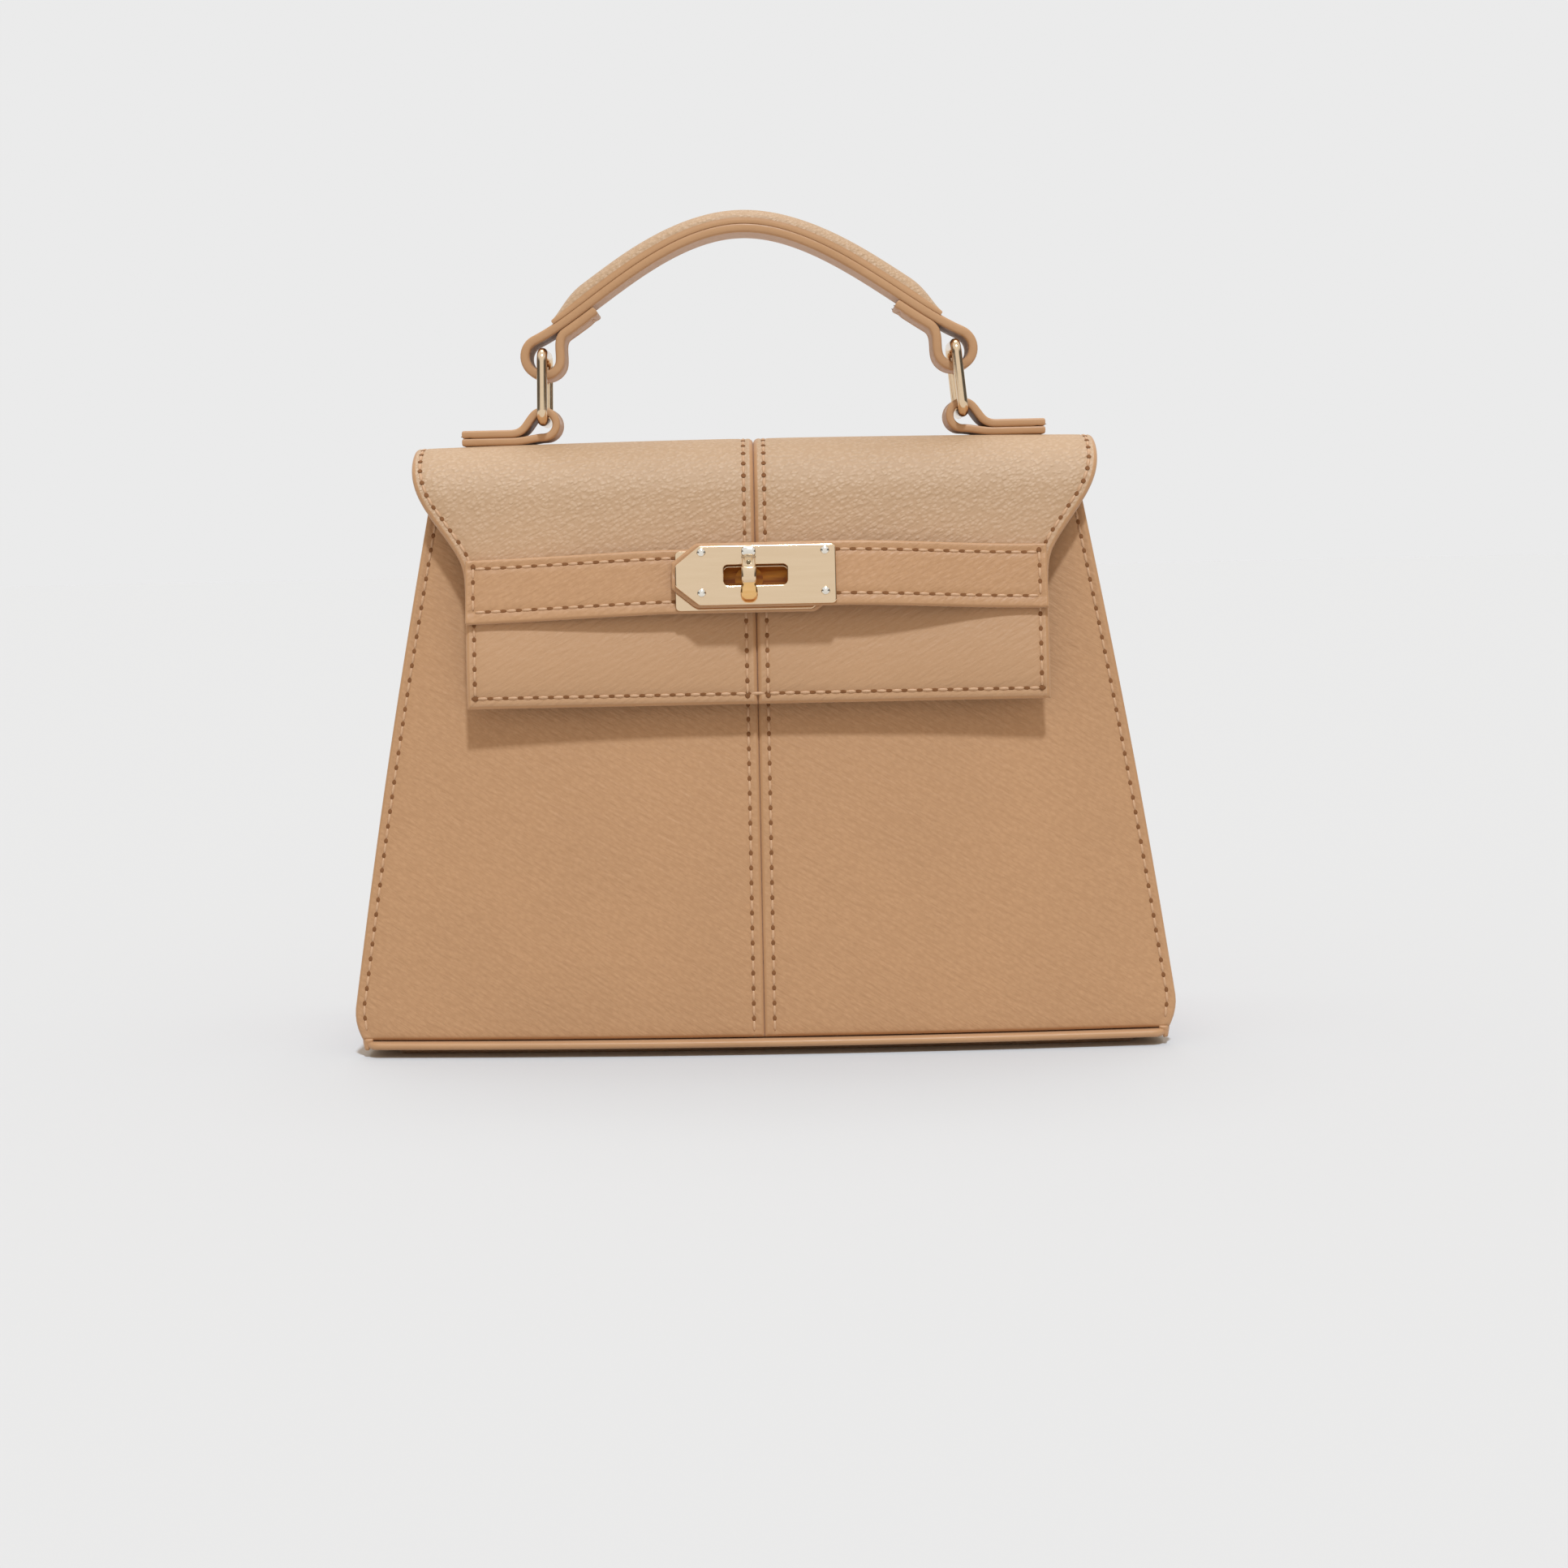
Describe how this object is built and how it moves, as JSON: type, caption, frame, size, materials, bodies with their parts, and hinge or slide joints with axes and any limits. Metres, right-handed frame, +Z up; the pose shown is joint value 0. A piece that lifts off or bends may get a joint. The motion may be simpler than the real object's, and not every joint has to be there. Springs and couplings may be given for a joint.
{
  "type": "top handle bag",
  "caption": "Structured tan leather top handle bag with tapered body, folding flap, crossed closing straps, turn toggle and padded handle on wire rings.",
  "frame": {"origin": "on the floor under the middle of the base", "axes": "+Z up, the front with the lock faces -Y, +X to the right seen from the front"},
  "size_m": [0.226, 0.094, 0.2324],
  "materials": {
    "tan_leather": "pebbled, satin",
    "lining_cloth": "plain weave",
    "soft_filler": "foam",
    "fibre_board": "pressed fibre board",
    "pale_gold_metal": "polished pale gold"
  },
  "bodies": {
    "bag_body": {"front_panel_left": "tan_leather", "front_panel_right": "tan_leather", "back_panel_left": "tan_leather", "back_panel_right": "tan_leather", "gusset_left": "tan_leather", "gusset_right": "tan_leather", "base_panel": "tan_leather", "base_board": "fibre_board", "lining": "lining_cloth", "front_facing": "tan_leather", "back_facing": "tan_leather", "inner_pocket": "lining_cloth", "hinge_fold": "tan_leather", "snap_socket": "pale_gold_metal", "snap_washer": "pale_gold_metal"},
    "flap": {"flap_left": "tan_leather", "flap_right": "tan_leather", "flap_filler": "soft_filler", "flap_lining": "lining_cloth", "snap_stud": "pale_gold_metal", "strap_left": "tan_leather", "strap_right": "tan_leather", "rear_lock_plate": "pale_gold_metal", "front_lock_plate": "pale_gold_metal", "rear_plate_rivets": "pale_gold_metal", "front_plate_rivets": "pale_gold_metal", "lock_base": "pale_gold_metal", "lock_backing": "pale_gold_metal", "lock_rivets": "pale_gold_metal", "tab_left": "tan_leather", "tab_right": "tan_leather"},
    "toggle": {"toggle": "pale_gold_metal", "toggle_spindle": "pale_gold_metal", "spindle_washer": "pale_gold_metal"},
    "ring_left": {"ring_left": "pale_gold_metal"},
    "ring_right": {"ring_right": "pale_gold_metal"},
    "handle": {"handle_strap": "tan_leather", "handle_cover": "tan_leather", "handle_core": "soft_filler"}
  },
  "joints": [
    {"name": "flap_hinge", "type": "hinge", "parent": "bag_body", "child": "flap", "pos_m": [0, 0.0193, 0.15208], "axis": [-1, 0, 0], "range_deg": [0, 140]},
    {"name": "toggle_turn", "type": "hinge", "parent": "flap", "child": "toggle", "pos_m": [-0.0018, -0.03207, 0.12811], "axis": [0, -0.9724, 0.2331], "range_deg": [-90, 90]},
    {"name": "ring_left_sway", "type": "hinge", "parent": "flap", "child": "ring_left", "pos_m": [-0.059, 0, 0.1739], "axis": [0, 1, 0], "range_deg": [-40, 40]},
    {"name": "ring_right_sway", "type": "hinge", "parent": "flap", "child": "ring_right", "pos_m": [0.059, 0, 0.1739], "axis": [0, 1, 0], "range_deg": [-40, 40]},
    {"name": "handle_level", "type": "hinge", "parent": "ring_left", "child": "handle", "pos_m": [-0.059, 0, 0.1929], "axis": [0, 1, 0], "range_deg": [-40, 40]}
  ],
  "couplings": [
    {"joint": "ring_right_sway", "follows": "ring_left_sway", "ratio": 1},
    {"joint": "handle_level", "follows": "ring_left_sway", "ratio": -1}
  ]
}
